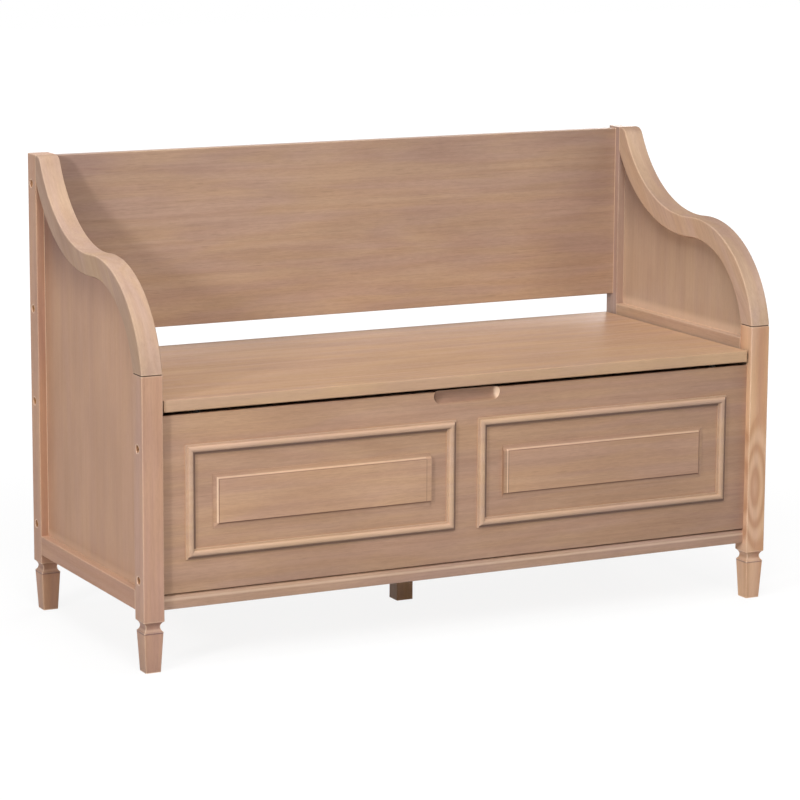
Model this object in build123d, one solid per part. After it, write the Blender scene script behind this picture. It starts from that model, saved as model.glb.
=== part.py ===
from build123d import *
import os
from math import asin, atan2, cos, hypot, pi, sin, sqrt

# Entry bench with a lift-up seat, in millimetres.
# X runs along the bench to the right, Y from front to back, Z up. The origin is on the floor, in the middle.

# Overall size
WIDTH = 1067.0
DEPTH = 448.0
HEIGHT = 716.0

# Posts and feet
POST = 33.0
FRONT_POST_TOP = 440.0
FOOT_HEIGHT = 60.5
NECK_HEIGHT = 16.0
NECK_DEPTH = 5.2
FOOT_TOP_INSET = 1.2
FOOT_TOE_INSET = 4.5

# Rounding of long edges and of the rear posts' tops, and the V round the joint of an arm and its front post
ARRIS = 1.5
TOP_EASE = 0.8
JOINT_VEE = 1.2

# Arms: a band between two parallel S-curves, each a shoulder arc that runs into a hollow arc.
# The hollow's radius is a share of the arm's rise.
ARM_BAND = 33.0
ARM_ARRIS = 2.0
SHOULDER_RADIUS = 182.0
SHOULDER_DROP = 30.0
HOLLOW_SHARE = 0.746
ARM_TOP_RUN = 16.0
ARM_TOP_RADIUS = 18.0

# Side frames: bottom rail, thin panel in grooves, and the strip beside the seat
BASE_Z = 90.0
SIDE_RAIL_HEIGHT = 30.0
SIDE_PANEL = 6.0
PANEL_TONGUE = 6.0
GROOVE_PLAY = 0.3
SEAT_RAIL_RISE = 16.5
SEAT_RAIL_HEIGHT = 45.0

# Boards between the side frames
BOARD = 15.0
BOX_TOP = 378.0
FRONT_SETBACK = 11.0
BACK_SETBACK = 6.5
FRONT_RAIL_HEIGHT = 23.0
FRONT_RAIL_ROUND = 9.0
BACKREST_SLOT = 32.5
BACKREST_DROP = 3.0

# Finger scoop, cut by a ball-nosed tool along the front panel's top edge
SCOOP_RUN = 87.0
SCOOP_RADIUS = 13.0
SCOOP_DROP = 7.0
SCOOP_STANDOFF = 3.0

# Moulding frames on the front panel, of flat strips with a half-round bead along the middle
MOULDING = 15.0
MOULDING_FLAT = 2.0
BEAD_RADIUS = 4.5
MOULDING_MIDDLE_GAP = 38.0
MOULDING_END_MARGIN = 38.5
MOULDING_TOP_MARGIN = 45.5
MOULDING_BOTTOM_MARGIN = 49.5

# Raised fields inside the mouldings, each a flat face with a hollow border that ends in a thin lip
FIELD_END_MARGIN = 36.5
FIELD_TOP_MARGIN = 39.5
FIELD_BOTTOM_MARGIN = 35.5
FIELD_RISE = 5.0
FIELD_HOLLOW = 8.5
FIELD_LIP = 0.6

# Box bottom, its cleats and the leg under its middle
BOTTOM = 9.0
BOTTOM_PLAY = 0.5
CLEAT = 15.0
LEG = 28.0
LEG_FLOOR_GAP = 6.0

# Seat lid and its bumpers
LID = 18.0
LID_END_PLAY = 3.4
LID_FRONT_SETBACK = 5.0
LID_REAR_SETBACK = 5.5
LID_ARRIS = 2.0
BUMPER_RADIUS = 4.0
BUMPER_FROM_END = 60.0

# Hinges: the knuckle fills the gap under the lid
HINGE_LENGTH = 76.0
HINGE_FROM_END = 170.5
KNUCKLES = 5
KNUCKLE_RADIUS = 2.75
KNUCKLE_END_PLAY = 0.3
KNUCKLE_SIDE_PLAY = 0.4
KNUCKLE_BACK_PLAY = 0.25
LEAF = 1.5
LEAF_MARGIN = 1.0
PIN_RADIUS = 1.5
PIN_PLAY = 0.05
PIN_HEAD_RADIUS = 2.2
PIN_HEAD = 1.2

# Connector bolts and barrel nuts
BOLT_RADIUS = 3.0
BOLT_HEAD_RADIUS = 5.8
BOLT_HEAD = 3.5
BOLT_SOCKET = 4.0
BOLT_SOCKET_DEPTH = 2.2
BOLT_HOLE_PLAY = 0.2
BOLT_REACH = 32.0
COUNTERBORE_RADIUS = 6.25
COUNTERBORE_DEPTH = 6.0
PANEL_BOLT_MARGIN = 46.5
BACKREST_BOLT_MARGIN = 42.5
NUT_RADIUS = 5.0
NUT_LENGTH = 13.0
NUT_INSET = 25.0
NUT_SLOT = 1.2
NUT_SLOT_DEPTH = 1.5
NUT_PLAY = 0.1
NUT_THREAD_PLAY = 0.05

# Dowels
DOWEL_RADIUS = 4.0
DOWEL_LENGTH = 30.0
DOWEL_CHAMFER = 0.8
DOWEL_PLAY = 0.1
DOWEL_END_PLAY = 1.0
DOWEL_SPREAD = 8.0
RAIL_DOWEL_RISE = 12.0
ARM_DOWEL_DROP = 16.0

# Countersunk wood screws: shank radius, head radius and head height of each kind
HINGE_SCREW = (1.5, 3.0, 1.5)
LID_SCREW_LENGTH = 14.0
PANEL_SCREW_LENGTH = 20.0
HINGE_SCREW_SPACING = 26.0
WOOD_SCREW = (2.0, 4.0, 2.2)
CLEAT_SCREW_LENGTH = 25.0
CLEAT_SCREW_END = 70.0
LONG_CLEAT_SCREWS = 4
SHORT_CLEAT_SCREWS = 2
LEG_SCREW_LENGTH = 50.0
LEG_SCREW_SPACING = 12.0
SCREW_PLAY = 0.05

# Places worked out from the sizes above
side_x = (WIDTH - POST) / 2
inner_x = WIDTH / 2 - POST
front_y = -DEPTH / 2
back_y = DEPTH / 2
inner_y = DEPTH / 2 - POST
hollow_radius = (HEIGHT - FRONT_POST_TOP) * HOLLOW_SHARE
panel_y = front_y + FRONT_SETBACK
panel_back_y = panel_y + BOARD
rear_face_y = back_y - BACK_SETBACK
rear_front_y = rear_face_y - BOARD
box_middle_y = (panel_back_y + rear_front_y) / 2
side_rail_top = BASE_Z + SIDE_RAIL_HEIGHT
front_rail_top = BASE_Z + FRONT_RAIL_HEIGHT
cleat_top = BASE_Z + CLEAT
bottom_top = cleat_top + BOTTOM
lid_gap = 2 * KNUCKLE_RADIUS
lid_bottom = BOX_TOP + lid_gap
lid_top = lid_bottom + LID
lid_end = inner_x - LID_END_PLAY
lid_front_y = front_y + LID_FRONT_SETBACK
lid_rear_y = back_y - LID_REAR_SETBACK
seat_rail_top = lid_top + SEAT_RAIL_RISE
seat_rail_bottom = seat_rail_top - SEAT_RAIL_HEIGHT
seat_strip = (POST - SIDE_PANEL) / 2
backrest_bottom = lid_top + BACKREST_SLOT
backrest_top = HEIGHT - BACKREST_DROP
hinge_x = -inner_x + HINGE_FROM_END
hinge_y = rear_face_y + KNUCKLE_RADIUS + KNUCKLE_BACK_PLAY
hinge_z = BOX_TOP + KNUCKLE_RADIUS
leaf_front_y = rear_front_y + LEAF_MARGIN
leaf_back_y = hinge_y - KNUCKLE_RADIUS - KNUCKLE_SIDE_PLAY


def block(x, y, z):
    """Box between the two limits given for each axis."""
    limits = (x, y, z)
    middle = [(low + high) / 2 for low, high in limits]
    return Pos(*middle) * Box(*[high - low for low, high in limits])


def rod(radius, start, end):
    """Round bar between two points."""
    run = Vector(*end) - Vector(*start)
    return extrude(Plane(origin=start, z_dir=run) * Circle(radius), run.length)


def eased(solid, axis, radius):
    """The solid with its edges along one axis rounded."""
    return fillet(solid.edges().filter_by(axis), radius)


def mirrored(solids):
    """The solids, with their mirror images on the right half of the bench."""
    return solids + [mirror(solid, Plane.YZ) for solid in solids]


# Fasteners

def dowel(center, along, play=0.0, end_play=0.0):
    """Wooden dowel about a point, or with play given, its hole."""
    half = Vector(*along) * (DOWEL_LENGTH / 2 + end_play)
    bar = rod(DOWEL_RADIUS + play, Vector(*center) - half, Vector(*center) + half)
    return bar if play else chamfer(bar.edges().filter_by(GeomType.CIRCLE), DOWEL_CHAMFER)


def dowel_hole(center, along):
    return dowel(center, along, DOWEL_PLAY, DOWEL_END_PLAY)


def screw(kind, length, point, along, play=0.0):
    """Countersunk screw from its head's flat face inwards, or with play given, its hole."""
    radius, head_radius, head = kind
    shank = radius + play
    end = length + play
    outline = Polyline((0, 0), (head_radius + play, 0), (shank, head), (shank, end), (0, end), (0, 0))
    solid = revolve(make_face(Plane.XZ * outline), Axis.Z)
    return Plane(origin=point, z_dir=along).location * solid


def connector_bolt(y, z):
    """Bolt through a left post into a board's end, with its head sunk in the counterbore."""
    seat = -WIDTH / 2 + COUNTERBORE_DEPTH
    head = rod(BOLT_HEAD_RADIUS, (seat - BOLT_HEAD, y, z), (seat, y, z))
    socket_plane = Plane(origin=(seat - BOLT_HEAD, y, z), z_dir=(1, 0, 0))
    socket = extrude(socket_plane * RegularPolygon(BOLT_SOCKET / 2, 6, major_radius=False), BOLT_SOCKET_DEPTH)
    shank = rod(BOLT_RADIUS, (seat, y, z), (-inner_x + BOLT_REACH, y, z))
    return head + shank - socket


def bolt_hole(y, z):
    """Counterbore in the post and the bolt's hole through it into the board."""
    outside = -WIDTH / 2
    counterbore = rod(COUNTERBORE_RADIUS, (outside, y, z), (outside + COUNTERBORE_DEPTH, y, z))
    end = -inner_x + BOLT_REACH + DOWEL_END_PLAY
    return counterbore + rod(BOLT_RADIUS + BOLT_HOLE_PLAY, (outside, y, z), (end, y, z))


def barrel_nut(face_y, z):
    """Slotted cross nut, flush with the board's rear face, with the bolt's thread through it."""
    x = -inner_x + NUT_INSET
    nut = rod(NUT_RADIUS, (x, face_y - NUT_LENGTH, z), (x, face_y, z))
    across = (x - NUT_RADIUS, x + NUT_RADIUS)
    slot = block(across, (face_y - NUT_SLOT_DEPTH, face_y), (z - NUT_SLOT / 2, z + NUT_SLOT / 2))
    y = face_y - BOARD / 2
    thread = rod(BOLT_RADIUS + NUT_THREAD_PLAY, (x - NUT_RADIUS, y, z), (x + NUT_RADIUS, y, z))
    return nut - slot - thread


def nut_hole(face_y, z):
    x = -inner_x + NUT_INSET
    return rod(NUT_RADIUS + NUT_PLAY, (x, face_y - NUT_LENGTH - NUT_PLAY, z), (x, face_y, z))


# Each board's rear face and its bolt heights
panel_bolts = (BASE_Z + PANEL_BOLT_MARGIN, BOX_TOP - PANEL_BOLT_MARGIN)
backrest_bolts = (backrest_bottom + BACKREST_BOLT_MARGIN, backrest_top - BACKREST_BOLT_MARGIN)
boards = {
    "front_panel": (panel_back_y, panel_bolts),
    "back_panel": (rear_face_y, panel_bolts),
    "backrest": (rear_face_y, backrest_bolts),
}


def board_fixings(name):
    """Bolts, nuts, dowel and holes at the left end of one board."""
    face_y, heights = boards[name]
    y = face_y - BOARD / 2
    place = ((-inner_x, y, sum(heights) / 2), (1, 0, 0))
    holes = [bolt_hole(y, z) for z in heights]
    holes += [nut_hole(face_y, z) for z in heights]
    return {
        "bolts": [connector_bolt(y, z) for z in heights],
        "nuts": [barrel_nut(face_y, z) for z in heights],
        "dowels": [dowel(*place)],
        "holes": holes + [dowel_hole(*place)],
    }


fixings = {name: board_fixings(name) for name in boards}


# Side frames, built on the left

def side_dowels():
    """Centre and direction of each dowel of the left side frame."""
    places = []
    for x in (-side_x - DOWEL_SPREAD, -side_x + DOWEL_SPREAD):
        places += [((x, y, BASE_Z + RAIL_DOWEL_RISE), (0, 1, 0)) for y in (-inner_y, inner_y)]
        places.append(((x, front_y + POST / 2, FRONT_POST_TOP), (0, 0, 1)))
        places.append(((x, inner_y, HEIGHT - ARM_DOWEL_DROP), (0, 1, 0)))
    strip_x = -inner_x - seat_strip / 2
    strip_z = (seat_rail_top + seat_rail_bottom) / 2
    return places + [((strip_x, y, strip_z), (0, 1, 0)) for y in (-inner_y, inner_y)]


side_holes = [dowel_hole(*place) for place in side_dowels()]


def arc(center, radius, start, end):
    """Arc in the side plane about a centre, between two directions."""
    turns = (start, (start + end) / 2, end)
    return ThreePointArc(*[(0, center[0] + radius * cos(a), center[1] + radius * sin(a)) for a in turns])


def arm_centers():
    """Centres, as Y and Z, of the shoulder arc and of the hollow arc that runs on from it."""
    shoulder = (front_y + sqrt(SHOULDER_RADIUS**2 - SHOULDER_DROP**2), FRONT_POST_TOP - SHOULDER_DROP)
    top = (inner_y - ARM_TOP_RUN, HEIGHT)
    span = hypot(top[0] - shoulder[0], top[1] - shoulder[1])
    along = ((top[0] - shoulder[0]) / span, (top[1] - shoulder[1]) / span)
    reach = SHOULDER_RADIUS + hollow_radius
    run = (reach**2 - hollow_radius**2 + span**2) / (2 * span)
    rise = sqrt(reach**2 - run**2)
    hollow = (shoulder[0] + run * along[0] - rise * along[1], shoulder[1] + run * along[1] + rise * along[0])
    return shoulder, hollow


def under_curve(offset, thickness):
    """Slab in the left side frame below the arm's top curve, with the curve moved inwards by the offset."""
    shoulder, hollow = arm_centers()
    turn = atan2(hollow[1] - shoulder[1], hollow[0] - shoulder[0])
    ceiling = HEIGHT + POST
    last = -asin((hollow[1] - ceiling) / (hollow_radius + offset))
    front = arc(shoulder, SHOULDER_RADIUS - offset, pi, turn)
    rear = arc(hollow, hollow_radius + offset, turn - pi, last)
    far_y = back_y + DEPTH
    rest = Polyline(rear @ 1, (0, far_y, ceiling), (0, far_y, 0), (0, (front @ 0).Y, 0), front @ 0)
    return Pos(-side_x, 0, 0) * extrude(make_face(front + rear + rest), thickness / 2, both=True)


def side_slab(thickness, play):
    """The side panel, or with play given, the groove around it."""
    tongue = PANEL_TONGUE + play
    slab = under_curve(ARM_BAND - tongue, thickness + 2 * play)
    edge = inner_y + tongue
    return slab & block((-WIDTH / 2, 0), (-edge, edge), (side_rail_top - tongue, HEIGHT))


groove = side_slab(SIDE_PANEL, GROOVE_PLAY)


def post(x, y, top):
    """Square post with a cove neck all round above a tapered foot."""
    neck_top = FOOT_HEIGHT + NECK_HEIGHT
    half = POST / 2
    shaft = extrude(Pos(0, 0, FOOT_HEIGHT) * RectangleRounded(POST, POST, ARRIS), top - FOOT_HEIGHT)
    high = (half, 0, neck_top)
    low = (half - FOOT_TOP_INSET, 0, FOOT_HEIGHT)
    cove = ThreePointArc(high, (half - NECK_DEPTH, 0, (neck_top + FOOT_HEIGHT) / 2), low)
    outside = Polyline(low, (POST, 0, FOOT_HEIGHT), (POST, 0, neck_top), high)
    cutter = extrude(make_face(cove + outside), POST, both=True)
    for side in range(4):
        shaft -= Rot(0, 0, 90 * side) * cutter
    toe = POST - 2 * FOOT_TOE_INSET
    shoulder = POST - 2 * FOOT_TOP_INSET
    foot_top = Pos(0, 0, FOOT_HEIGHT) * RectangleRounded(shoulder, shoulder, ARRIS)
    foot = loft([RectangleRounded(toe, toe, ARRIS), foot_top])
    return Pos(x, y, 0) * (shaft + foot)


def front_post():
    solid = post(-side_x, front_y + POST / 2, FRONT_POST_TOP)
    solid = chamfer(solid.faces().sort_by(Axis.Z)[-1].edges(), JOINT_VEE)
    return solid - [groove] - side_holes - fixings["front_panel"]["holes"]


def rear_post():
    solid = post(-side_x, back_y - POST / 2, HEIGHT)
    solid = fillet(solid.faces().sort_by(Axis.Z)[-1].edges(), TOP_EASE)
    return solid - [groove] - side_holes - fixings["back_panel"]["holes"] - fixings["backrest"]["holes"]


def arm():
    """S-curved arm, flush with the posts, rounded where it leaves the rear post's top."""
    band = under_curve(0, POST) - under_curve(ARM_BAND, POST)
    solid = band & block((-WIDTH / 2, 0), (front_y - POST, inner_y), (FRONT_POST_TOP, HEIGHT))
    crown = solid.edges().filter_by(Axis.X).group_by(Axis.Z)[-1].sort_by(Axis.Y)[0]
    solid = fillet(crown, ARM_TOP_RADIUS)
    flanks = solid.faces().filter_by(Axis.X).edges()
    joints = solid.faces().group_by(Axis.Z)[0].edges() + solid.faces().group_by(Axis.Y)[-1].edges()
    solid = fillet([edge for edge in flanks if edge not in joints], ARM_ARRIS)
    solid = chamfer(solid.faces().sort_by(Axis.Z)[0].edges(), JOINT_VEE)
    return solid - [groove] - side_holes


def bottom_rail(holes):
    rail = block((-WIDTH / 2, -inner_x), (-inner_y, inner_y), (BASE_Z, side_rail_top))
    return eased(rail, Axis.Y, ARRIS) - [groove] - side_holes - holes


def seat_rail():
    strip = block((-inner_x - seat_strip, -inner_x), (-inner_y, inner_y), (seat_rail_bottom, seat_rail_top))
    top_edge = strip.edges().filter_by(Axis.Y).group_by(Axis.Z)[-1].sort_by(Axis.X)[-1]
    return fillet(top_edge, ARRIS) - side_holes


# Boards

def board(name, z):
    """Plain board between the side frames, eased along its length, with its fixings' holes at both ends."""
    face_y = boards[name][0]
    plank = eased(block((-inner_x, inner_x), (face_y - BOARD, face_y), z), Axis.X, ARRIS)
    return plank - mirrored(fixings[name]["holes"])


def front_panel(holes):
    """Front of the box, with the finger scoop in its top edge."""
    y = panel_y - SCOOP_STANDOFF
    z = BOX_TOP - SCOOP_DROP
    scoop = rod(SCOOP_RADIUS, (-SCOOP_RUN / 2, y, z), (SCOOP_RUN / 2, y, z))
    for x in (-SCOOP_RUN / 2, SCOOP_RUN / 2):
        scoop += Pos(x, y, z) * Sphere(SCOOP_RADIUS)
    return board("front_panel", (front_rail_top, BOX_TOP)) - scoop - holes


def front_rail(holes):
    """Rail under the front panel, flush with it, with its top front edge rounded off."""
    rail = block((-inner_x, inner_x), (panel_y, panel_back_y), (BASE_Z, front_rail_top))
    front = rail.edges().filter_by(Axis.X).group_by(Axis.Y)[0].sort_by(Axis.Z)
    rail = fillet(front[-1], FRONT_RAIL_ROUND)
    front = rail.edges().filter_by(Axis.X).group_by(Axis.Z)[0].sort_by(Axis.Y)
    return fillet(front[0], ARRIS) - holes


moulding_x = (-inner_x + MOULDING_END_MARGIN, -MOULDING_MIDDLE_GAP / 2)
moulding_z = (front_rail_top + MOULDING_BOTTOM_MARGIN, BOX_TOP - MOULDING_TOP_MARGIN)


def moulding_frame():
    """Four beaded strips, mitred at the corners, on the left half of the front panel."""
    (x0, x1), (z0, z1) = moulding_x, moulding_z
    half = MOULDING / 2
    lower = ((x0, z0), (x1, z0), (x1 - MOULDING, z0 + MOULDING), (x0 + MOULDING, z0 + MOULDING))
    upper = ((x0, z1), (x1, z1), (x1 - MOULDING, z1 - MOULDING), (x0 + MOULDING, z1 - MOULDING))
    left = ((x0, z0), (x0, z1), (x0 + MOULDING, z1 - MOULDING), (x0 + MOULDING, z0 + MOULDING))
    right = ((x1, z0), (x1, z1), (x1 - MOULDING, z1 - MOULDING), (x1 - MOULDING, z0 + MOULDING))
    bars = (
        (lower, (x0, z0 + half), (x1, z0 + half)),
        (upper, (x0, z1 - half), (x1, z1 - half)),
        (left, (x0 + half, z0), (x0 + half, z1)),
        (right, (x1 - half, z0), (x1 - half, z1)),
    )
    strips = []
    y = panel_y - MOULDING_FLAT
    for corners, start, end in bars:
        outline = make_face(Polyline([(x, panel_y, z) for x, z in corners], close=True))
        flat = extrude(outline, MOULDING_FLAT, dir=(0, -1, 0))
        mitred = extrude(outline, MOULDING_FLAT + BEAD_RADIUS, dir=(0, -1, 0))
        bead = rod(BEAD_RADIUS, (start[0], y, start[1]), (end[0], y, end[1]))
        strips.append(flat + (bead & mitred))
    return strips


def raised_field():
    """Plate with a flat face and a hollow border all round, inside the left moulding frame."""
    inset = MOULDING + FIELD_END_MARGIN - FIELD_HOLLOW
    x = (moulding_x[0] + inset, moulding_x[1] - inset)
    low = moulding_z[0] + MOULDING + FIELD_BOTTOM_MARGIN - FIELD_HOLLOW
    high = moulding_z[1] - MOULDING - FIELD_TOP_MARGIN + FIELD_HOLLOW
    plate = block(x, (panel_y - FIELD_RISE, panel_y), (low, high))
    depth = FIELD_RISE - FIELD_LIP
    radius = (FIELD_HOLLOW**2 + depth**2) / (2 * depth)
    y = panel_y - FIELD_LIP - radius
    corners = [(x[0], y, low), (x[1], y, low), (x[1], y, high), (x[0], y, high)]
    for start, end in zip(corners, corners[1:] + corners[:1]):
        plate -= rod(radius, start, end)
    return plate


# Box bottom

def spread(count, half):
    """Evenly spaced places, the outer ones a set distance inside the ends."""
    reach = half - CLEAT_SCREW_END
    return [reach * (2 * i / (count - 1) - 1) for i in range(count)]


def bottom_screws():
    """Kind, length, point and direction of the cleats' screws, and of the two that hold the leg."""
    z = BASE_Z + CLEAT / 2
    length = CLEAT_SCREW_LENGTH
    places = []
    for x in spread(LONG_CLEAT_SCREWS, inner_x):
        places.append((WOOD_SCREW, length, (x, panel_back_y + CLEAT, z), (0, -1, 0)))
        places.append((WOOD_SCREW, length, (x, rear_front_y - CLEAT, z), (0, 1, 0)))
    for y in spread(SHORT_CLEAT_SCREWS, (rear_front_y - panel_back_y) / 2):
        places.append((WOOD_SCREW, length, (-inner_x + CLEAT, box_middle_y + y, z), (-1, 0, 0)))
        places.append((WOOD_SCREW, length, (inner_x - CLEAT, box_middle_y + y, z), (1, 0, 0)))
    for x in (-LEG_SCREW_SPACING / 2, LEG_SCREW_SPACING / 2):
        places.append((WOOD_SCREW, LEG_SCREW_LENGTH, (x, box_middle_y, bottom_top), (0, 0, -1)))
    return places


def holes_of(places):
    return [screw(*place, SCREW_PLAY) for place in places]


screw_holes = holes_of(bottom_screws())


def long_cleat(y):
    return block((-inner_x, inner_x), y, (BASE_Z, cleat_top)) - screw_holes


def short_cleat():
    y = (panel_back_y + CLEAT, rear_front_y - CLEAT)
    return block((-inner_x, -inner_x + CLEAT), y, (BASE_Z, cleat_top)) - screw_holes


def bottom_panel():
    x = inner_x - BOTTOM_PLAY
    y = (panel_back_y + BOTTOM_PLAY, rear_front_y - BOTTOM_PLAY)
    return block((-x, x), y, (cleat_top, bottom_top)) - screw_holes


def centre_leg():
    y = (box_middle_y - LEG / 2, box_middle_y + LEG / 2)
    leg = block((-LEG / 2, LEG / 2), y, (LEG_FLOOR_GAP, cleat_top))
    return eased(leg, Axis.Z, ARRIS) - screw_holes


# Lid and hinges

def hinge_screws(z, length, direction):
    """Screws of one leaf of the left hinge."""
    y = (leaf_front_y + leaf_back_y) / 2
    return [
        (HINGE_SCREW, length, (hinge_x + step, y, z), (0, 0, direction))
        for step in (-HINGE_SCREW_SPACING, 0, HINGE_SCREW_SPACING)
    ]


panel_screws = hinge_screws(BOX_TOP + LEAF, PANEL_SCREW_LENGTH, -1)
lid_screws = hinge_screws(lid_bottom - LEAF, LID_SCREW_LENGTH, 1)


def hinge_leaf(z, own_knuckles, screws):
    """Plate of the left hinge with its share of the knuckles rolled about the pin."""
    start = hinge_x - HINGE_LENGTH / 2
    pitch = HINGE_LENGTH / KNUCKLES
    leaf = block((start, start + HINGE_LENGTH), (leaf_front_y, leaf_back_y), z)
    for index in own_knuckles:
        x = (start + index * pitch + KNUCKLE_END_PLAY / 2, start + (index + 1) * pitch - KNUCKLE_END_PLAY / 2)
        leaf += block(x, (leaf_back_y, hinge_y), z)
        leaf += rod(KNUCKLE_RADIUS, (x[0], hinge_y, hinge_z), (x[1], hinge_y, hinge_z))
    bore = rod(PIN_RADIUS + PIN_PLAY, (start, hinge_y, hinge_z), (start + HINGE_LENGTH, hinge_y, hinge_z))
    return leaf - bore - holes_of(screws)


def hinge_pin():
    """Pin with a flat head beyond each end of the knuckles."""
    left = hinge_x - HINGE_LENGTH / 2
    right = hinge_x + HINGE_LENGTH / 2
    pin = rod(PIN_RADIUS, (left, hinge_y, hinge_z), (right, hinge_y, hinge_z))
    pin += rod(PIN_HEAD_RADIUS, (left - PIN_HEAD, hinge_y, hinge_z), (left, hinge_y, hinge_z))
    return pin + rod(PIN_HEAD_RADIUS, (right, hinge_y, hinge_z), (right + PIN_HEAD, hinge_y, hinge_z))


def seat_lid():
    lid = block((-lid_end, lid_end), (lid_front_y, lid_rear_y), (lid_bottom, lid_top))
    return fillet(lid.edges(), LID_ARRIS) - mirrored(holes_of(lid_screws))


def bumper():
    """Round pad on the front panel's top edge that carries the closed lid."""
    x = -inner_x + BUMPER_FROM_END
    y = panel_y + BOARD / 2
    return rod(BUMPER_RADIUS, (x, y, BOX_TOP), (x, y, lid_bottom))


# Nodes. A list is a group of like pieces that stay separate solids.

left_nodes = {
    "front_post": front_post(),
    "rear_post": rear_post(),
    "arm": arm(),
    "bottom_rail": bottom_rail(screw_holes),
    "seat_rail": seat_rail(),
    "side_panel": side_slab(SIDE_PANEL, 0),
    "moulding_frame": moulding_frame(),
    "raised_field": raised_field(),
    "bottom_cleat": short_cleat(),
    "hinge_fixed_leaf": hinge_leaf((BOX_TOP, BOX_TOP + LEAF), range(0, KNUCKLES, 2), panel_screws),
    "hinge_lid_leaf": hinge_leaf((lid_bottom - LEAF, lid_bottom), range(1, KNUCKLES, 2), lid_screws),
    "hinge_pin": hinge_pin(),
}

nodes = {
    "front_panel": front_panel(screw_holes),
    "front_bottom_rail": front_rail(screw_holes),
    "back_panel": board("back_panel", (BASE_Z, BOX_TOP)) - screw_holes - mirrored(holes_of(panel_screws)),
    "backrest": board("backrest", (backrest_bottom, backrest_top)),
    "bottom_panel": bottom_panel(),
    "front_bottom_cleat": long_cleat((panel_back_y, panel_back_y + CLEAT)),
    "rear_bottom_cleat": long_cleat((rear_front_y - CLEAT, rear_front_y)),
    "centre_leg": centre_leg(),
    "seat_lid": seat_lid(),
    "lid_bumpers": mirrored([bumper()]),
    "connector_bolts": mirrored([bolt for name in boards for bolt in fixings[name]["bolts"]]),
    "barrel_nuts": mirrored([nut for name in boards for nut in fixings[name]["nuts"]]),
    "board_dowels": mirrored([pin for name in boards for pin in fixings[name]["dowels"]]),
    "side_frame_dowels": mirrored([dowel(*place) for place in side_dowels()]),
    "bottom_screws": [screw(*place) for place in bottom_screws()],
    "hinge_panel_screws": mirrored([screw(*place) for place in panel_screws]),
    "hinge_lid_screws": mirrored([screw(*place) for place in lid_screws]),
}

for name, shape in left_nodes.items():
    pieces = shape if isinstance(shape, list) else [shape]
    nodes[f"left_{name}"] = pieces
    nodes[f"right_{name}"] = [mirror(piece, Plane.YZ) for piece in pieces]

os.makedirs("parts", exist_ok=True)
for name, shape in nodes.items():
    pieces = shape if isinstance(shape, list) else [shape]
    solids = [solid for piece in pieces for solid in piece.solids()]
    export_step(solids[0] if len(solids) == 1 else Compound(children=solids), f"parts/{name}.step")
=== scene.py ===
import math

import bpy
import bmesh
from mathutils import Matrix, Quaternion, Vector


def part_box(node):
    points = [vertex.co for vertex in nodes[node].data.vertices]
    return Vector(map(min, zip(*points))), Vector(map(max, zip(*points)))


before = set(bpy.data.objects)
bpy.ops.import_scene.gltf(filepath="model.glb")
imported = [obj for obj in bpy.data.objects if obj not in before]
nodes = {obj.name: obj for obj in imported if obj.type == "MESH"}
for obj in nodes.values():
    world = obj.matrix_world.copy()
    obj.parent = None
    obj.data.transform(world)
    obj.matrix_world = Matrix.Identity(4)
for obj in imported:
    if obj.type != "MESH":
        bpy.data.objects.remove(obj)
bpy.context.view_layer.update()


# Colours

def screen(red, green, blue):
    """Linear colour of an 8-bit screen colour."""
    def linear(value):
        value /= 255
        return value / 12.92 if value <= 0.04045 else ((value + 0.055) / 1.055) ** 2.4
    return (linear(red), linear(green), linear(blue), 1.0)


THIN_STAIN = screen(219, 183, 149)
FULL_STAIN = screen(138, 110, 100)
UNSEEN_TONE = (1.0, 0.97, 0.97, 1.0)
WARM_BLUSH = (1.015, 1.0, 0.95, 1.0)
COOL_BLUSH = (0.98, 0.965, 1.01, 1.0)
DARK_GRAIN = screen(146, 134, 132)
WARM_GRAIN = screen(206, 172, 146)
# Pale colour of edges thinned by wear and of painted highlights
RUBBED_EDGE = screen(244, 214, 186)
# Colour of painted shade on slopes and of painted shadow lines
SHADED_FLANK = screen(165, 152, 148)
# Colour of painted shade in tight gaps, and of dirt in joints
CREVICE_DIRT = screen(34, 26, 23)
BARE_WOOD = screen(214, 178, 134)
BARE_GRAIN = screen(170, 140, 110)
BRASS = screen(196, 158, 92)
ZINC = screen(176, 176, 174)
METAL_SHADE = screen(190, 180, 165)
RUBBER = screen(34, 33, 32)
FLOOR_WHITE = (0.6, 0.6, 0.6, 1.0)
WORLD_WHITE = (1.0, 1.0, 1.0, 1.0)


# Shader node helpers

VECTOR = "NodeSocketVector"
FLOAT = "NodeSocketFloat"
COLOUR = "NodeSocketColor"

# Colour sockets of a Mix node, by number because its other kinds of socket have the same names
MIX_FIRST = 6
MIX_SECOND = 7
MIX_RESULT = 2


def add(tree, kind, **values):
    """New node with its properties and unlinked inputs set."""
    node = tree.nodes.new(kind)
    for name, value in values.items():
        if hasattr(node, name):
            setattr(node, name, value)
        else:
            node.inputs[name].default_value = value
    return node


def plug(tree, socket, value):
    """Links a socket to an input, or sets the input to a plain value."""
    if isinstance(value, bpy.types.NodeSocket):
        tree.links.new(value, socket)
    else:
        socket.default_value = value


def calc(tree, operation, first, second=0.0, clamp=False):
    node = add(tree, "ShaderNodeMath", operation=operation, use_clamp=clamp)
    plug(tree, node.inputs[0], first)
    plug(tree, node.inputs[1], second)
    return node.outputs[0]


def vector_calc(tree, operation, first, second=None):
    """Outputs of vector maths: Vector, or Value for a length or a dot product."""
    node = add(tree, "ShaderNodeVectorMath", operation=operation)
    plug(tree, node.inputs[0], first)
    if second is not None:
        plug(tree, node.inputs[1], second)
    return node.outputs


def axes(tree, vector):
    """X, Y and Z of a vector."""
    node = add(tree, "ShaderNodeSeparateXYZ")
    tree.links.new(vector, node.inputs[0])
    return node.outputs


def own_place(tree):
    """Place on a piece, in the piece's own axes."""
    return add(tree, "ShaderNodeTexCoord").outputs["Object"]


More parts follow.
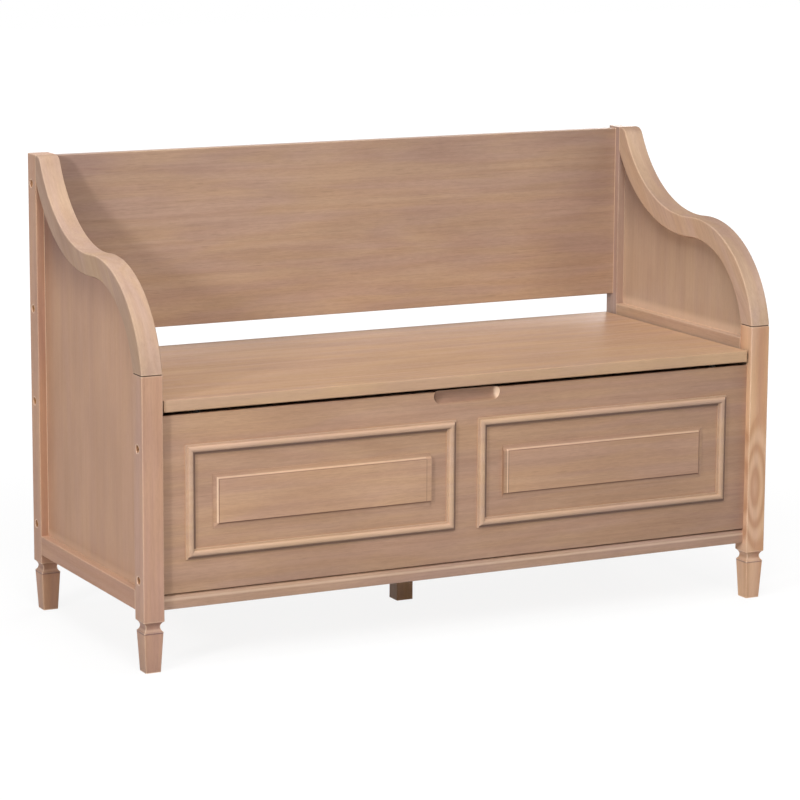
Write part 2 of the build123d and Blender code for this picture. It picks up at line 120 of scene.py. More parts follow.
def blend_colour(tree, kind, factor, first, second):
    node = add(tree, "ShaderNodeMix", data_type="RGBA", blend_type=kind)
    plug(tree, node.inputs["Factor"], factor)
    plug(tree, node.inputs[MIX_FIRST], first)
    plug(tree, node.inputs[MIX_SECOND], second)
    return node.outputs[MIX_RESULT]


def ramp(tree, value, low, high, to_low=0.0, to_high=1.0):
    """Smooth step from one value at the low end of a span to another at its high end."""
    node = add(tree, "ShaderNodeMapRange", interpolation_type="SMOOTHSTEP")
    plug(tree, node.inputs["Value"], value)
    node.inputs["From Min"].default_value = low
    node.inputs["From Max"].default_value = high
    node.inputs["To Min"].default_value = to_low
    node.inputs["To Max"].default_value = to_high
    return node.outputs[0]


def noise(tree, vector, cells, detail=2.0, roughness=0.5, distortion=0.0):
    """Noise with so many cells per metre along each axis."""
    scaled = vector_calc(tree, "MULTIPLY", vector, cells)["Vector"]
    made = add(
        tree, "ShaderNodeTexNoise",
        Scale=1.0, Detail=detail, Roughness=roughness, Distortion=distortion,
    )
    tree.links.new(scaled, made.inputs["Vector"])
    return made.outputs["Fac"]


def group(name, inputs, outputs):
    """Empty shader group with its sockets; gives its tree, its input sockets and its output node."""
    tree = bpy.data.node_groups.new(name, "ShaderNodeTree")
    for label, kind in inputs.items():
        tree.interface.new_socket(label, in_out="INPUT", socket_type=kind)
    for label, kind in outputs.items():
        tree.interface.new_socket(label, in_out="OUTPUT", socket_type=kind)
    return tree, tree.nodes.new("NodeGroupInput").outputs, tree.nodes.new("NodeGroupOutput")


def give(tree, out, **results):
    """Links results to the outputs of a group."""
    for label, value in results.items():
        tree.links.new(value, out.inputs[label])


def use(tree, made, **values):
    """Outputs of a group placed in a tree with its own values."""
    node = tree.nodes.new("ShaderNodeGroup")
    node.node_tree = made
    for label, value in values.items():
        plug(tree, node.inputs[label], value)
    return node.outputs


# Figure of the wood: cells per metre along the grain and across it, and the span each fades over

LONG_STREAKS = (4.0, 260.0, 260.0)
SHORT_STREAKS = (75.0, 650.0, 650.0)
LONG_SHARE = 0.45
STREAK_SPAN = (0.38, 0.62)
PORES = (26.0, 620.0, 620.0)
PORE_SPAN = (0.62, 0.76)
BOARD_ARCHES = (0.9, 12.0, 12.0)
WIDE_ARCHES = (0.8, 6.0, 6.0)
RINGS = 11.0
RING_MIDDLE = 0.62
RING_SPAN = (0.05, 0.5)
CLOUDS = (6.0, 20.0, 20.0)
CLOUD_SPAN = (0.3, 0.7)
BLUSHES = (5.0, 40.0, 40.0)
BLUSH_SPAN = (0.35, 0.65)


def make_wood_figure():
    """Grain along X: streaks, pores, bands that close into arches, clouds and blushes of stain."""
    tree, inside, out = group(
        "wood_figure",
        {"Vector": VECTOR, "Arches": VECTOR, "Knot": FLOAT},
        {"Streaks": FLOAT, "Pores": FLOAT, "Bands": FLOAT, "Clouds": FLOAT, "Blush": FLOAT},
    )
    where = inside["Vector"]
    long = noise(tree, where, LONG_STREAKS, detail=3.0, roughness=0.6)
    short = noise(tree, where, SHORT_STREAKS, detail=3.0, roughness=0.7)
    long = calc(tree, "MULTIPLY", long, LONG_SHARE)
    short = calc(tree, "MULTIPLY", short, 1 - LONG_SHARE)
    pores = noise(tree, where, PORES, detail=1.0)
    arches = noise(tree, where, inside["Arches"], detail=1.5, roughness=0.45)
    height = calc(tree, "ADD", arches, inside["Knot"])
    turns = calc(tree, "FRACT", calc(tree, "MULTIPLY", height, RINGS))
    ring = calc(tree, "ABSOLUTE", calc(tree, "SUBTRACT", turns, RING_MIDDLE))
    clouds = noise(tree, where, CLOUDS)
    blush = noise(tree, where, BLUSHES, distortion=0.3)
    give(
        tree, out,
        Streaks=ramp(tree, calc(tree, "ADD", long, short), *STREAK_SPAN),
        Pores=ramp(tree, pores, *PORE_SPAN),
        Bands=ramp(tree, ring, *RING_SPAN),
        Clouds=ramp(tree, clouds, *CLOUD_SPAN),
        Blush=ramp(tree, blush, *BLUSH_SPAN),
    )
    return tree


# Masks by the shape of a piece and of what stands near it

NEAR_SAMPLES = 8
ARRIS_SPAN = (0.95, 0.62)
RECESS_REACH = 0.03
RECESS_SPAN = (0.97, 0.55)
CREVICE_REACH = 0.02
CREVICE_SPAN = (0.26, 0.04)
NEAR_FLANK_SPAN = (0.35, 0.75)
FAR_FLANK_SPAN = (-0.3, -0.7)


def make_arris_mask():
    """One on the outer edges, where the stain is thinned by wear and a highlight is painted."""
    tree, inside, out = group("arris_mask", {"Reach": FLOAT}, {"Mask": FLOAT})
    near = add(
        tree, "ShaderNodeAmbientOcclusion", samples=NEAR_SAMPLES, inside=True, only_local=True
    )
    tree.links.new(inside["Reach"], near.inputs["Distance"])
    give(tree, out, Mask=ramp(tree, near.outputs["AO"], *ARRIS_SPAN))
    return tree


def make_hollow_mask(name, reach, span):
    """One where other surfaces stand close round a place."""
    tree, _, out = group(name, {}, {"Mask": FLOAT})
    near = add(tree, "ShaderNodeAmbientOcclusion", samples=NEAR_SAMPLES, Distance=reach)
    give(tree, out, Mask=ramp(tree, near.outputs["AO"], *span))
    return tree


def make_flank_masks():
    """One on slopes that lean to a side, for a painted highlight, and one on those that lean away from
    it, for painted shade.
    """
    tree, inside, out = group(
        "flank_masks", {"Facing": VECTOR, "Side": VECTOR}, {"Near": FLOAT, "Far": FLOAT}
    )
    lean = vector_calc(tree, "DOT_PRODUCT", inside["Facing"], inside["Side"])["Value"]
    give(
        tree, out,
        Near=ramp(tree, lean, *NEAR_FLANK_SPAN),
        Far=ramp(tree, lean, *FAR_FLANK_SPAN),
    )
    return tree


wood_figure = make_wood_figure()
flank_masks = make_flank_masks()
arris_mask = make_arris_mask()

# Inner corners, which a positive glow makes paler and a negative glow darkens with painted shade, and
# tight gaps, darkened with painted shade
recess_mask = make_hollow_mask("recess_mask", RECESS_REACH, RECESS_SPAN)
crevice_mask = make_hollow_mask("crevice_mask", CREVICE_REACH, CREVICE_SPAN)


# Stained and lacquered wood

CLOUD_DEPTH = 0.12
UNSEEN_SPAN = (0.6, 0.9)
LACQUER_ROUGHNESS = 0.3
STREAK_ROUGHNESS = 0.1
STAIN_AMOUNTS = (
    "Knot", "Joint", "Glaze", "Stain", "Streaking", "Banding", "Glow", "Blushing",
    "Edge", "Reach", "Worn", "Rubbed", "Shaded",
)


def make_stained_wood():
    """Stained and lacquered wood: its colour, its roughness and the height of its grain."""
    vectors = ("Vector", "Arches", "Facing", "Side")
    tree, inside, out = group(
        "stained_wood",
        {**dict.fromkeys(vectors, VECTOR), "Tone": COLOUR, **dict.fromkeys(STAIN_AMOUNTS, FLOAT)},
        {"Color": COLOUR, "Roughness": FLOAT, "Height": FLOAT},
    )
    figure = use(
        tree, wood_figure, Vector=inside["Vector"], Arches=inside["Arches"], Knot=inside["Knot"]
    )
    flanks = use(tree, flank_masks, Facing=inside["Facing"], Side=inside["Side"])
    edges = use(tree, arris_mask, Reach=inside["Reach"])["Mask"]
    corners = use(tree, recess_mask)["Mask"]
    gaps = use(tree, crevice_mask)["Mask"]

    clouds = calc(tree, "SUBTRACT", figure["Clouds"], 0.5)
    stain = calc(tree, "ADD", inside["Stain"], calc(tree, "MULTIPLY", clouds, CLOUD_DEPTH))
    # A positive glow makes inner corners paler; a negative one darkens them with painted shade
    thinned = calc(tree, "MULTIPLY", corners, inside["Glow"])
    stain = calc(tree, "SUBTRACT", stain, thinned, clamp=True)
    blush = blend_colour(tree, "MIX", figure["Blush"], WARM_BLUSH, COOL_BLUSH)

    # Faces that look to the right or the rear aren't in the photo, so they share a plain tone
    facing = axes(tree, inside["Facing"])
    unseen = ramp(tree, calc(tree, "MAXIMUM", facing["X"], facing["Y"]), *UNSEEN_SPAN)
    tone = blend_colour(tree, "MIX", unseen, inside["Tone"], UNSEEN_TONE)

    lines = calc(tree, "ADD", figure["Streaks"], figure["Pores"])
    streaks = calc(tree, "MULTIPLY", lines, inside["Streaking"])
    bands = calc(tree, "MULTIPLY", figure["Bands"], inside["Banding"])
    # Pale marks: edges thinned by wear, painted highlights and pale bands
    worn = calc(tree, "MAXIMUM", calc(tree, "MULTIPLY", edges, inside["Edge"]), inside["Worn"])
    # Painted highlight on slopes that face the light, and painted shade on slopes that face away
    rubbed = calc(tree, "MULTIPLY", flanks["Near"], inside["Rubbed"])
    shaded = calc(tree, "MULTIPLY", flanks["Far"], inside["Shaded"])
    layers = (
        ("MULTIPLY", inside["Blushing"], blush),
        ("MULTIPLY", 1.0, tone),
        ("MULTIPLY", streaks, DARK_GRAIN),
        ("MULTIPLY", bands, WARM_GRAIN),
        ("MIX", worn, RUBBED_EDGE),
        ("MIX", rubbed, RUBBED_EDGE),
        # Painted shade on slopes and painted shadow lines
        ("MULTIPLY", calc(tree, "MAXIMUM", shaded, inside["Glaze"]), SHADED_FLANK),
        # Painted shade in tight gaps, and dirt in joints
        ("MULTIPLY", calc(tree, "MAXIMUM", gaps, inside["Joint"]), CREVICE_DIRT),
    )
    colour = blend_colour(tree, "MIX", stain, THIN_STAIN, FULL_STAIN)
    for kind, amount, paint in layers:
        colour = blend_colour(tree, kind, amount, colour, paint)

    rough = calc(tree, "MULTIPLY", figure["Streaks"], STREAK_ROUGHNESS)
    give(
        tree, out,
        Color=colour,
        Roughness=calc(tree, "ADD", LACQUER_ROUGHNESS, rough),
        Height=figure["Streaks"],
    )
    return tree


stained_wood = make_stained_wood()


# Materials

def material(name):
    """Empty material; gives it, its tree and its Principled shader."""
    made = bpy.data.materials.new(name)
    made.use_nodes = True
    tree = made.node_tree
    return made, tree, tree.nodes["Principled BSDF"]


def dress(finish, *names):
    """Puts one finish on pieces."""
    for name in names:
        nodes[name].data.materials.clear()
        nodes[name].data.materials.append(finish)


ARM_SLOPE = math.radians(-52)
GRAIN_TURN = {
    "X": (0.0, 0.0, 0.0),
    "Y": (0.0, 0.0, math.radians(-90)),
    "Z": (0.0, math.radians(90), 0.0),
    "arm": (ARM_SLOPE, 0.0, math.radians(-90)),
}


def swept(tree, place, value, passes):
    """A value that changes by an amount between two places along an axis, once for each pass."""
    if not passes:
        return value
    along = axes(tree, place)
    for axis, start, end, amount in passes:
        value = calc(tree, "ADD", value, ramp(tree, along[axis], start, end, 0.0, amount))
    return value


KNOT_RISE = 0.24


def knot_lift(tree, place, center, size):
    """Rise of the growth rings round a knot."""
    away = vector_calc(tree, "SUBTRACT", place, center)["Vector"]
    away = vector_calc(tree, "DIVIDE", away, size)["Vector"]
    return ramp(tree, vector_calc(tree, "LENGTH", away)["Value"], 1.0, 0.0, 0.0, KNOT_RISE)


# Distances from a joint where its dirt starts and is full, and how dark it gets
JOINT_SPAN = (0.0012, 0.0004)
JOINT_DEPTH = 0.8


def joint_line(tree, place, height):
    """Dirt inside the V that runs round a piece at a height."""
    away = calc(tree, "ABSOLUTE", calc(tree, "SUBTRACT", axes(tree, place)["Z"], height))
    return ramp(tree, away, *JOINT_SPAN, 0.0, JOINT_DEPTH)


# Half of the width that a drawn line's edge fades over
LINE_FADE = 0.0004


def drawn_lines(tree, place, lines):
    """How much of a line is there: each has its reach along X and along Z, and its strength."""
    drawn = 0.0
    if not lines:
        return drawn
    along = axes(tree, place)
    for across, up, strength in lines:
        line = strength
        for axis, (low, high) in (("X", across), ("Z", up)):
            start = ramp(tree, along[axis], low - LINE_FADE, low + LINE_FADE)
            end = ramp(tree, along[axis], high + LINE_FADE, high - LINE_FADE)
            line = calc(tree, "MULTIPLY", line, calc(tree, "MULTIPLY", start, end))
        drawn = calc(tree, "MAXIMUM", drawn, line)
    return drawn


# Moulding strips: their width, and that of the flat on each side of the bead
STRIP = 0.015
STRIP_FLAT = 0.003


def strip_glaze(piece):
    """Lower and right-hand flats of a moulding frame beside the bead, darkened with painted shadow."""
    (left, _, bottom), (right, _, top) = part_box(piece)
    inner_left, inner_top = left + STRIP, top - STRIP
    return (
        ((inner_left - STRIP_FLAT, right - STRIP), (inner_top, inner_top + STRIP_FLAT), 1.0),
        ((inner_left - STRIP_FLAT, inner_left), (bottom + STRIP, inner_top + STRIP_FLAT), 1.0),
        ((left + STRIP_FLAT, right), (bottom, bottom + STRIP_FLAT), 1.0),
        ((right - STRIP_FLAT, right), (bottom, top - STRIP_FLAT), 1.0),
    )


# Raised fields: width of the hollow round the face, of its painted highlight and of half a painted
# shade line
FIELD_HOLLOW = 0.0085
FIELD_GLINT = 0.0028
FIELD_LINE = 0.0006


def field_face(piece):
    """Left rim, left and right of a field's face along X, and bottom, top and top rim along Z."""
    (left, _, bottom), (right, _, top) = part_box(piece)
    across = (left, left + FIELD_HOLLOW, right - FIELD_HOLLOW)
    return across, (bottom + FIELD_HOLLOW, top - FIELD_HOLLOW, top)


def field_glaze(piece):
    """Outline of a raised field's face, and the outer part of the hollows above it and on its left,
    darkened with painted shade.
    """
    (rim_left, left, right), (bottom, top, rim_top) = field_face(piece)
    return (
        ((left - FIELD_LINE, right), (top - FIELD_LINE, top + FIELD_LINE), 0.6),
        ((left - FIELD_LINE, left + FIELD_LINE), (bottom, top), 0.7),
        ((left, right), (bottom - 3 * FIELD_LINE, bottom), 1.0),
        ((right, right + 2 * FIELD_LINE), (bottom, top), 0.5),
        ((rim_left, right + FIELD_HOLLOW), (top + FIELD_GLINT, rim_top), 0.2),
        ((rim_left + FIELD_LINE, left - FIELD_GLINT), (bottom, rim_top), 0.2),
        ((rim_left - FIELD_LINE, rim_left + FIELD_LINE), (bottom - FIELD_HOLLOW, rim_top), 0.45),
    )


def field_glints(piece):
    """Painted highlights above a raised field's face and on its left."""
    (_, left, right), (bottom, top, _) = field_face(piece)
    return (
        ((left - FIELD_GLINT, right), (top + FIELD_LINE, top + FIELD_GLINT), 0.3),
        ((left - FIELD_GLINT, left - FIELD_LINE), (bottom, top + FIELD_GLINT), 0.5),
    )


# Sides that slopes get a painted highlight towards and painted shade away from
UPPER_LEFT = (-0.8, 0.0, 0.8)
LEFT = (-1.0, 0.0, 0.0)
BELOW = (0.0, 0.0, -0.8)
LOWER_REAR = (0.0, 0.35, -0.35)

# How far from a crisp edge, and from an eased one, the stain is thinned by wear and a highlight
# painted
CRISP_EDGE = 0.0013
EASED_EDGE = 0.002

GRAIN_STRENGTH = 0.12
GRAIN_DEPTH = 0.0006


def wood(
    name, grain, place, stain=0.5, tone=(1.0, 1.0, 1.0), blushing=1.0, glow=0.1, spray=(),
    streaking=0.16, banding=0.1, arches=BOARD_ARCHES, knot=None,
    edge=0.8, reach=CRISP_EDGE, worn=(), glints=(),
    side=UPPER_LEFT, rubbed=0.0, shaded=0.0, glazed=(), joint=None, gloss=0.2,
):
    """Finish of one wooden piece, with its grain's direction and its place in the log."""
    made, tree, shader = material(name)
    coordinates = add(tree, "ShaderNodeTexCoord").outputs
    spot = coordinates["Object"]
    turn = add(
        tree, "ShaderNodeMapping", vector_type="POINT", Location=place, Rotation=GRAIN_TURN[grain]
    )
    tree.links.new(spot, turn.inputs["Vector"])
    finish = use(
        tree, stained_wood,
        Vector=turn.outputs[0],
        Facing=coordinates["Normal"],
        Stain=swept(tree, spot, stain, spray),
        Tone=(*tone, 1.0),
        Blushing=blushing,
        Glow=glow,
        Streaking=streaking,
        Banding=banding,
        Arches=arches,
        Knot=knot_lift(tree, spot, *knot) if knot else 0.0,
        Edge=edge,
        Reach=reach,
        Worn=swept(tree, spot, drawn_lines(tree, spot, glints), worn),
        Side=side,
        Rubbed=rubbed,
        Shaded=shaded,
        Glaze=drawn_lines(tree, spot, glazed),
        Joint=joint_line(tree, spot, joint) if joint else 0.0,
    )
    tree.links.new(finish["Color"], shader.inputs["Base Color"])
    tree.links.new(finish["Roughness"], shader.inputs["Roughness"])
    bump = add(tree, "ShaderNodeBump", Strength=GRAIN_STRENGTH, Distance=GRAIN_DEPTH)
    tree.links.new(finish["Height"], bump.inputs["Height"])
    tree.links.new(bump.outputs[0], shader.inputs["Normal"])
    shader.inputs["Specular IOR Level"].default_value = gloss
    return made


def stained(piece, grain, place, **values):
    """Stains one piece."""
    dress(wood(f"stained_{piece}", grain, place, **values), piece)


# Passes that darken or lighten the stain, much of it painted shade, and passes of pale marks, some of
# them painted highlights: axis, start and end in metres, and the amount added by the end

ARM_JOINT = 0.44
PANEL_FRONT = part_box("front_panel")[0][1]
RAIL_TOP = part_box("front_bottom_rail")[1][2]
LEDGE_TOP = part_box("left_bottom_rail")[1][2]
REAR_POST_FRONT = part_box("left_rear_post")[0][1]
LEFT_PANEL_CORE, RIGHT_PANEL_CORE = (
    (low[0] + high[0]) / 2 for low, high in (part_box("left_side_panel"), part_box("right_side_panel"))
)
LID_EDGE = (-0.216, -0.219)
HALF_CORE = 0.001

# Darker towards the right
SLOPE_SPRAY = (("X", -0.2, 0.5, 0.1),)
# Front panel: darker at its ends and bottom, with painted shade in the scoop and on the top edge
# behind its face
PANEL_SPRAY = SLOPE_SPRAY + (
    ("X", -0.46, -0.5, 0.1),
    ("X", 0.46, 0.5, 0.14),
    ("Z", 0.17, 0.11, 0.1),
    ("Y", PANEL_FRONT + 0.001, PANEL_FRONT + 0.006, 0.15),
)
# Backrest: darker towards the top and the right end, painted light towards the bottom, and the left
# arm's painted shadow at the left end
BACKREST_SPRAY = (
    ("Z", 0.62, 0.71, 0.1),
    ("Z", 0.55, 0.44, -0.1),
    ("X", -0.36, -0.48, 0.2),
    ("X", 0.3, 0.5, 0.13),
)
# Seat: painted shade towards the rear, under the backrest, and a paler front edge
SEAT_SPRAY = (("Y", 0.0, 0.22, 0.1), ("Y", *LID_EDGE, -0.15))
SEAT_WEAR = (("Y", *LID_EDGE, 0.1),)
# A painted highlight along the rounded top edge of the front rail
RAIL_WEAR = (
    ("Z", RAIL_TOP - 0.0055, RAIL_TOP - 0.008, 0.33),
    ("Z", RAIL_TOP - 0.009, RAIL_TOP - 0.0115, -0.33),
)
# Paler along the top of the left bottom rail
LEDGE_WEAR = (("Z", LEDGE_TOP - 0.0015, LEDGE_TOP - 0.0003, 0.22),)

# The side panels get painted shade towards the top, under the arms, and pale bands low down on the
# outer face of the left panel and the inner face of the right, not on the others
LEFT_SIDE_SPRAY = (("Z", 0.48, 0.62, 0.5),)
LEFT_SIDE_WEAR = (
    ("Z", 0.134, 0.122, 0.35),
    ("X", LEFT_PANEL_CORE - HALF_CORE, LEFT_PANEL_CORE + HALF_CORE, -0.35),
)
RIGHT_SIDE_SPRAY = (("Z", 0.5, 0.64, 0.4),)
RIGHT_SIDE_WEAR = (
    ("Z", 0.437, 0.424, 0.3),
    ("Z", 0.416, 0.404, -0.3),
    ("X", RIGHT_PANEL_CORE - HALF_CORE, RIGHT_PANEL_CORE + HALF_CORE, -0.3),
)

# Down a foot: painted shade on the neck, a painted highlight on the lip, a painted shadow line under
# it, and the plain taper
FOOT_SPRAY = (("Z", 0.0765, 0.073, 0.2), ("Z", 0.0612, 0.0602, 0.4), ("Z", 0.0592, 0.0575, -0.6))
FOOT_WEAR = (("Z", 0.0665, 0.064, 0.22), ("Z", 0.0625, 0.061, -0.22))
# The left rear post also gets painted shade on its front face
REAR_POST_SPRAY = FOOT_SPRAY + (("Y", REAR_POST_FRONT + 0.002, REAR_POST_FRONT + 0.0003, 0.1),)

# Middle and half size of the oval figure on the right front post
POST_KNOT = ((0.512, -0.224, 0.18), (0.034, 0.08, 0.13))


# Stained pieces

stained("backrest", "X", (0.3, 1.1, 0.2), stain=0.43, tone=(0.95, 0.98, 1.04), spray=BACKREST_SPRAY)
# The seat's rounded front edge is darkened with painted shade
stained(
    "seat_lid", "X", (2.1, 0.4, 0.9), stain=0.43, tone=(0.92, 0.9, 0.86), streaking=0.12,
    edge=0.0, gloss=0.03, side=LOWER_REAR, shaded=0.5, spray=SEAT_SPRAY, worn=SEAT_WEAR,
)
# The front panel's faces towards the left get a painted highlight, such as the scoop's right end, and
# those towards the right get painted shade
stained(
    "front_panel", "X", (4.3, 2.2, 1.4), stain=0.45, tone=(0.98, 0.94, 0.92),
    edge=0.1, side=LEFT, rubbed=0.9, shaded=0.8, spray=PANEL_SPRAY,
)
stained(
    "front_bottom_rail", "X", (5.7, 0.8, 3.1), stain=0.44, tone=(0.92, 0.9, 0.94),
    edge=0.3, gloss=0.4, spray=SLOPE_SPRAY, worn=RAIL_WEAR,
)
stained("back_panel", "X", (6.2, 3.3, 0.5), stain=0.46)
stained("centre_leg", "Z", (1.9, 4.4, 2.6), stain=0.25)

# Negative glow on the left posts darkens their inner corners with painted shade
stained(
    "left_front_post", "Z", (3.6, 1.7, 4.2), stain=0.45, tone=(1.02, 0.94, 0.98), streaking=0.12,
    glow=-0.1, gloss=0.1, reach=EASED_EDGE, spray=FOOT_SPRAY, worn=FOOT_WEAR, joint=ARM_JOINT,
)
stained(
    "right_front_post", "Z", (7.4, 2.9, 1.1), stain=0.22, tone=(1.19, 1.15, 1.13), streaking=0.1,
    glow=0.0, banding=0.5, arches=WIDE_ARCHES, knot=POST_KNOT, edge=1.0, reach=EASED_EDGE,
    spray=FOOT_SPRAY, worn=FOOT_WEAR, joint=ARM_JOINT,
)
stained(
    "left_rear_post", "Z", (2.8, 5.1, 3.7), stain=0.42, tone=(1.04, 0.92, 0.89), streaking=0.12,
    glow=-0.05, gloss=0.1, reach=EASED_EDGE, spray=REAR_POST_SPRAY, worn=FOOT_WEAR,
)
stained(
    "right_rear_post", "Z", (8.5, 0.6, 2.3), stain=0.44, tone=(0.89, 0.94, 1.11), streaking=0.12,
    glow=0.0, spray=FOOT_SPRAY, worn=FOOT_WEAR,
)

ARM = {"streaking": 0.12, "gloss": 0.0, "edge": 0.7, "reach": EASED_EDGE, "joint": ARM_JOINT}
stained("left_arm", "arm", (1.2, 6.3, 0.7), stain=0.42, tone=(0.98, 1.03, 1.13), **ARM)
# The right arm's upward faces are darkened with painted shade
stained(
    "right_arm", "arm", (9.1, 4.8, 5.2), stain=0.31, tone=(1.01, 1.07, 1.18),
    side=BELOW, shaded=0.4, **ARM,
)

stained(
    "left_bottom_rail", "Y", (3.3, 7.7, 1.8), stain=0.46, tone=(1.0, 0.87, 0.84), streaking=0.1,
    glow=0.0, gloss=0.06, worn=LEDGE_WEAR,
)
stained("right_bottom_rail", "Y", (5.2, 8.4, 6.6), stain=0.46, streaking=0.12, glow=0.2)
stained("left_seat_rail", "Y", (6.9, 1.5, 7.3), stain=0.4, streaking=0.12)
stained(
    "right_seat_rail", "Y", (0.8, 9.2, 4.9), stain=0.36, tone=(0.89, 0.91, 0.94), streaking=0.12
)
stained(
    "left_side_panel", "Z", (4.7, 6.1, 8.8), stain=0.42, tone=(1.02, 0.92, 0.9), streaking=0.06,
    banding=0.04, glow=0.0, blushing=0.4, gloss=0.06, spray=LEFT_SIDE_SPRAY, worn=LEFT_SIDE_WEAR,
)
stained(
    "right_side_panel", "Z", (9.8, 3.4, 6.2), stain=0.4, tone=(0.95, 1.02, 1.09), streaking=0.08,
    banding=0.04, blushing=0.4, gloss=0.12, spray=RIGHT_SIDE_SPRAY, worn=RIGHT_SIDE_WEAR,
)

# Mouldings get a painted highlight on slopes facing up and to the left, painted shade on slopes facing
# away, and painted shadow lines beside the bead
MOULDING = {
    "streaking": 0.08, "edge": 0.0, "rubbed": 0.15, "shaded": 0.9, "gloss": 0.5, "spray": SLOPE_SPRAY,
}
stained(
    "left_moulding_frame", "X", (7.1, 5.6, 2.7), stain=0.36,
    glazed=strip_glaze("left_moulding_frame"), **MOULDING,
)
stained(
    "right_moulding_frame", "X", (2.4, 8.9, 5.5), stain=0.38,
    glazed=strip_glaze("right_moulding_frame"), **MOULDING,
)

# Raised fields get painted shade on slopes facing down and to the right, painted shade lines round the
# face, and painted highlights above it and on its left
FIELD = {"stain": 0.44, "edge": 0.0, "shaded": 1.0, "gloss": 0.25, "spray": SLOPE_SPRAY}
stained(
    "left_raised_field", "X", (5.1, 7.2, 9.3), tone=(1.06, 1.01, 0.98),
    glazed=field_glaze("left_raised_field"), glints=field_glints("left_raised_field"), **FIELD,
)
stained(
    "right_raised_field", "X", (8.2, 1.9, 3.9), tone=(1.05, 1.0, 0.96),
    glazed=field_glaze("right_raised_field"), glints=field_glints("right_raised_field"), **FIELD,
)


# Other finishes

BARE_STREAKS = 0.3
BARE_ROUGHNESS = (0.6, 0.75)
MARK_SPAN = (0.3, 0.7)
MARK_DEPTH = 0.5
BRASS_MARKS = 900.0
BRASS_ROUGHNESS = (0.28, 0.45)
ZINC_MARKS = 700.0
ZINC_ROUGHNESS = (0.3, 0.5)
RUBBER_GRIT = 1800.0
RUBBER_ROUGHNESS = (0.75, 0.92)


def bare_wood():
    """Wood without stain, inside the box."""
    made, tree, shader = material("bare_wood")
    streaks = use(tree, wood_figure, Vector=own_place(tree))["Streaks"]
    dark = calc(tree, "MULTIPLY", streaks, BARE_STREAKS)
    colour = blend_colour(tree, "MULTIPLY", dark, BARE_WOOD, BARE_GRAIN)
    tree.links.new(colour, shader.inputs["Base Color"])
    tree.links.new(ramp(tree, streaks, 0.0, 1.0, *BARE_ROUGHNESS), shader.inputs["Roughness"])
    return made


def metal(name, colour, cells, roughness):
    """Plated metal with fine marks in its colour and gloss."""
    made, tree, shader = material(name)
    marks = noise(tree, own_place(tree), (cells, cells, cells), detail=3.0, roughness=0.6)
    tree.links.new(ramp(tree, marks, *MARK_SPAN, *roughness), shader.inputs["Roughness"])
    depth = calc(tree, "MULTIPLY", marks, MARK_DEPTH)
    tint = blend_colour(tree, "MULTIPLY", depth, colour, METAL_SHADE)
    tree.links.new(tint, shader.inputs["Base Color"])
    shader.inputs["Metallic"].default_value = 1.0
    return made


def rubber():
    """Matt black rubber with a fine grit."""
    made, tree, shader = material("black_rubber")
    grit = noise(tree, own_place(tree), (RUBBER_GRIT, RUBBER_GRIT, RUBBER_GRIT))
    tree.links.new(ramp(tree, grit, *MARK_SPAN, *RUBBER_ROUGHNESS), shader.inputs["Roughness"])
    shader.inputs["Base Color"].default_value = RUBBER
    return made


dress(
    bare_wood(),
    "bottom_panel", "front_bottom_cleat", "rear_bottom_cleat", "left_bottom_cleat",
    "right_bottom_cleat", "board_dowels", "side_frame_dowels",
)
dress(metal("brass_bolts", BRASS, BRASS_MARKS, BRASS_ROUGHNESS), "connector_bolts")
dress(
    metal("zinc_steel", ZINC, ZINC_MARKS, ZINC_ROUGHNESS),
    "barrel_nuts", "bottom_screws", "hinge_panel_screws", "hinge_lid_screws",
    "left_hinge_fixed_leaf", "right_hinge_fixed_leaf", "left_hinge_lid_leaf", "right_hinge_lid_leaf",
    "left_hinge_pin", "right_hinge_pin",
)
dress(rubber(), "lid_bumpers")


# Floor and world

WORLD_FILL = 0.05
FLOOR_HALF = 12.0
FLOOR_ROUGHNESS = 0.9
FLOOR_GLOW = 1.1
FLOOR_SHADOW_SHARE = 0.2
FLOOR_SHADOW_REACH = (0.9, 2.2)


def seen_by_eye(tree):
    """One for camera, glossy and transmission rays."""
    path = add(tree, "ShaderNodeLightPath").outputs
    seen = calc(tree, "MAXIMUM", path["Is Camera Ray"], path["Is Glossy Ray"])
    return calc(tree, "MAXIMUM", seen, path["Is Transmission Ray"])


def make_floor():
    """Pale floor that keeps a share of the shadow near the bench, and is white further out."""
    mesh = bmesh.new()
    bmesh.ops.create_grid(mesh, x_segments=1, y_segments=1, size=FLOOR_HALF)
    data = bpy.data.meshes.new("floor")
    mesh.to_mesh(data)
    mesh.free()
    floor = bpy.data.objects.new("floor", data)
    bpy.context.scene.collection.objects.link(floor)
    made, tree, shader = material("pale_floor")
    shader.inputs["Base Color"].default_value = FLOOR_WHITE
    shader.inputs["Roughness"].default_value = FLOOR_ROUGHNESS
    shader.inputs["Specular IOR Level"].default_value = 0.0
    glow = add(tree, "ShaderNodeEmission", Strength=FLOOR_GLOW)
    mix = add(tree, "ShaderNodeMixShader")
    away = vector_calc(tree, "LENGTH", own_place(tree))["Value"]
    share = ramp(tree, away, *FLOOR_SHADOW_REACH, 1 - FLOOR_SHADOW_SHARE, 1.0)
    tree.links.new(calc(tree, "MULTIPLY", seen_by_eye(tree), share), mix.inputs[0])
    tree.links.new(shader.outputs[0], mix.inputs[1])
    tree.links.new(glow.outputs[0], mix.inputs[2])
    tree.links.new(mix.outputs[0], tree.nodes["Material Output"].inputs["Surface"])
    data.materials.append(made)


def make_world():
    """White studio to the eye, and a weak fill to the pieces."""
    world = bpy.data.worlds.new("studio")
    bpy.context.scene.world = world
    world.use_nodes = True
    tree = world.node_tree
    back = tree.nodes["Background"]
    back.inputs["Color"].default_value = WORLD_WHITE
    strength = ramp(tree, seen_by_eye(tree), 0.0, 1.0, WORLD_FILL, 1.0)
    tree.links.new(strength, back.inputs["Strength"])


# Light

LAMP_AIM = Vector((0.0, 0.0, 0.4))
LAMP_DISTANCE = 4.0

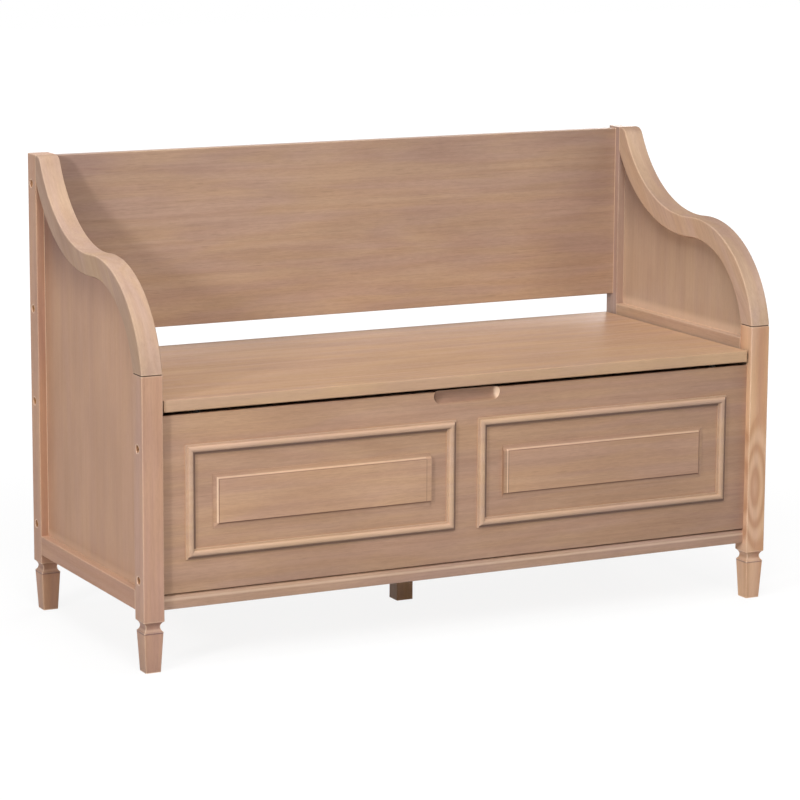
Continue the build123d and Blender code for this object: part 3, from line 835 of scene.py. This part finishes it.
# Turn from the front to the right and height in degrees, width in metres and power in watts of each
SOFT_BOXES = {
    "key": (-59.5, 18.0, 0.45, 60.0),
    "front": (-20.0, 50.0, 1.5, 78.0),
    "upper_left": (-60.0, 60.0, 1.5, 27.0),
    "overhead": (0.0, 88.0, 1.5, 64.0),
    "right_fill": (55.0, 30.0, 1.5, 14.0),
    "low_front": (0.0, 20.0, 1.5, 12.0),
    "rear_fill": (130.0, 12.0, 2.0, 70.0),
}


def soft_box(name, turn, height, size, power):
    """Square lamp that looks at the bench."""
    lamp = bpy.data.lights.new(name, "AREA")
    lamp.shape = "SQUARE"
    lamp.size = size
    lamp.energy = power
    box = bpy.data.objects.new(name, lamp)
    bpy.context.scene.collection.objects.link(box)
    turn, height = math.radians(turn), math.radians(height)
    level = math.cos(height)
    towards = Vector((math.sin(turn) * level, -math.cos(turn) * level, math.sin(height)))
    box.location = LAMP_AIM + towards * LAMP_DISTANCE
    box.rotation_mode = "QUATERNION"
    box.rotation_quaternion = (-towards).to_track_quat("-Z", "Y")
    box.visible_camera = False


# Camera, with its angles in radians

CAMERA_PLACE = (-2.2742, -4.4476, 1.2609)
CAMERA_YAW = 0.47183
CAMERA_PITCH = -0.18509
CAMERA_ROLL = 0.00517
CAMERA_CLIP = 100.0
FOCAL_PIXELS = 3241.9
IMAGE_PIXELS = 800
SENSOR = 36.0


def make_camera():
    """Camera without shift, fitted to the photo."""
    data = bpy.data.cameras.new("camera")
    data.sensor_width = SENSOR
    data.lens = FOCAL_PIXELS / IMAGE_PIXELS * SENSOR
    data.clip_end = CAMERA_CLIP
    camera = bpy.data.objects.new("camera", data)
    bpy.context.scene.collection.objects.link(camera)
    level = math.cos(CAMERA_PITCH)
    ahead = Vector((
        math.sin(CAMERA_YAW) * level, math.cos(CAMERA_YAW) * level, math.sin(CAMERA_PITCH),
    ))
    roll = Quaternion((0.0, 0.0, 1.0), CAMERA_ROLL)
    camera.location = CAMERA_PLACE
    camera.rotation_mode = "QUATERNION"
    camera.rotation_quaternion = ahead.to_track_quat("-Z", "Y") @ roll
    bpy.context.scene.camera = camera


make_floor()
make_world()
for lamp, values in SOFT_BOXES.items():
    soft_box(lamp, *values)
make_camera()
bpy.context.scene.view_settings.view_transform = "Standard"
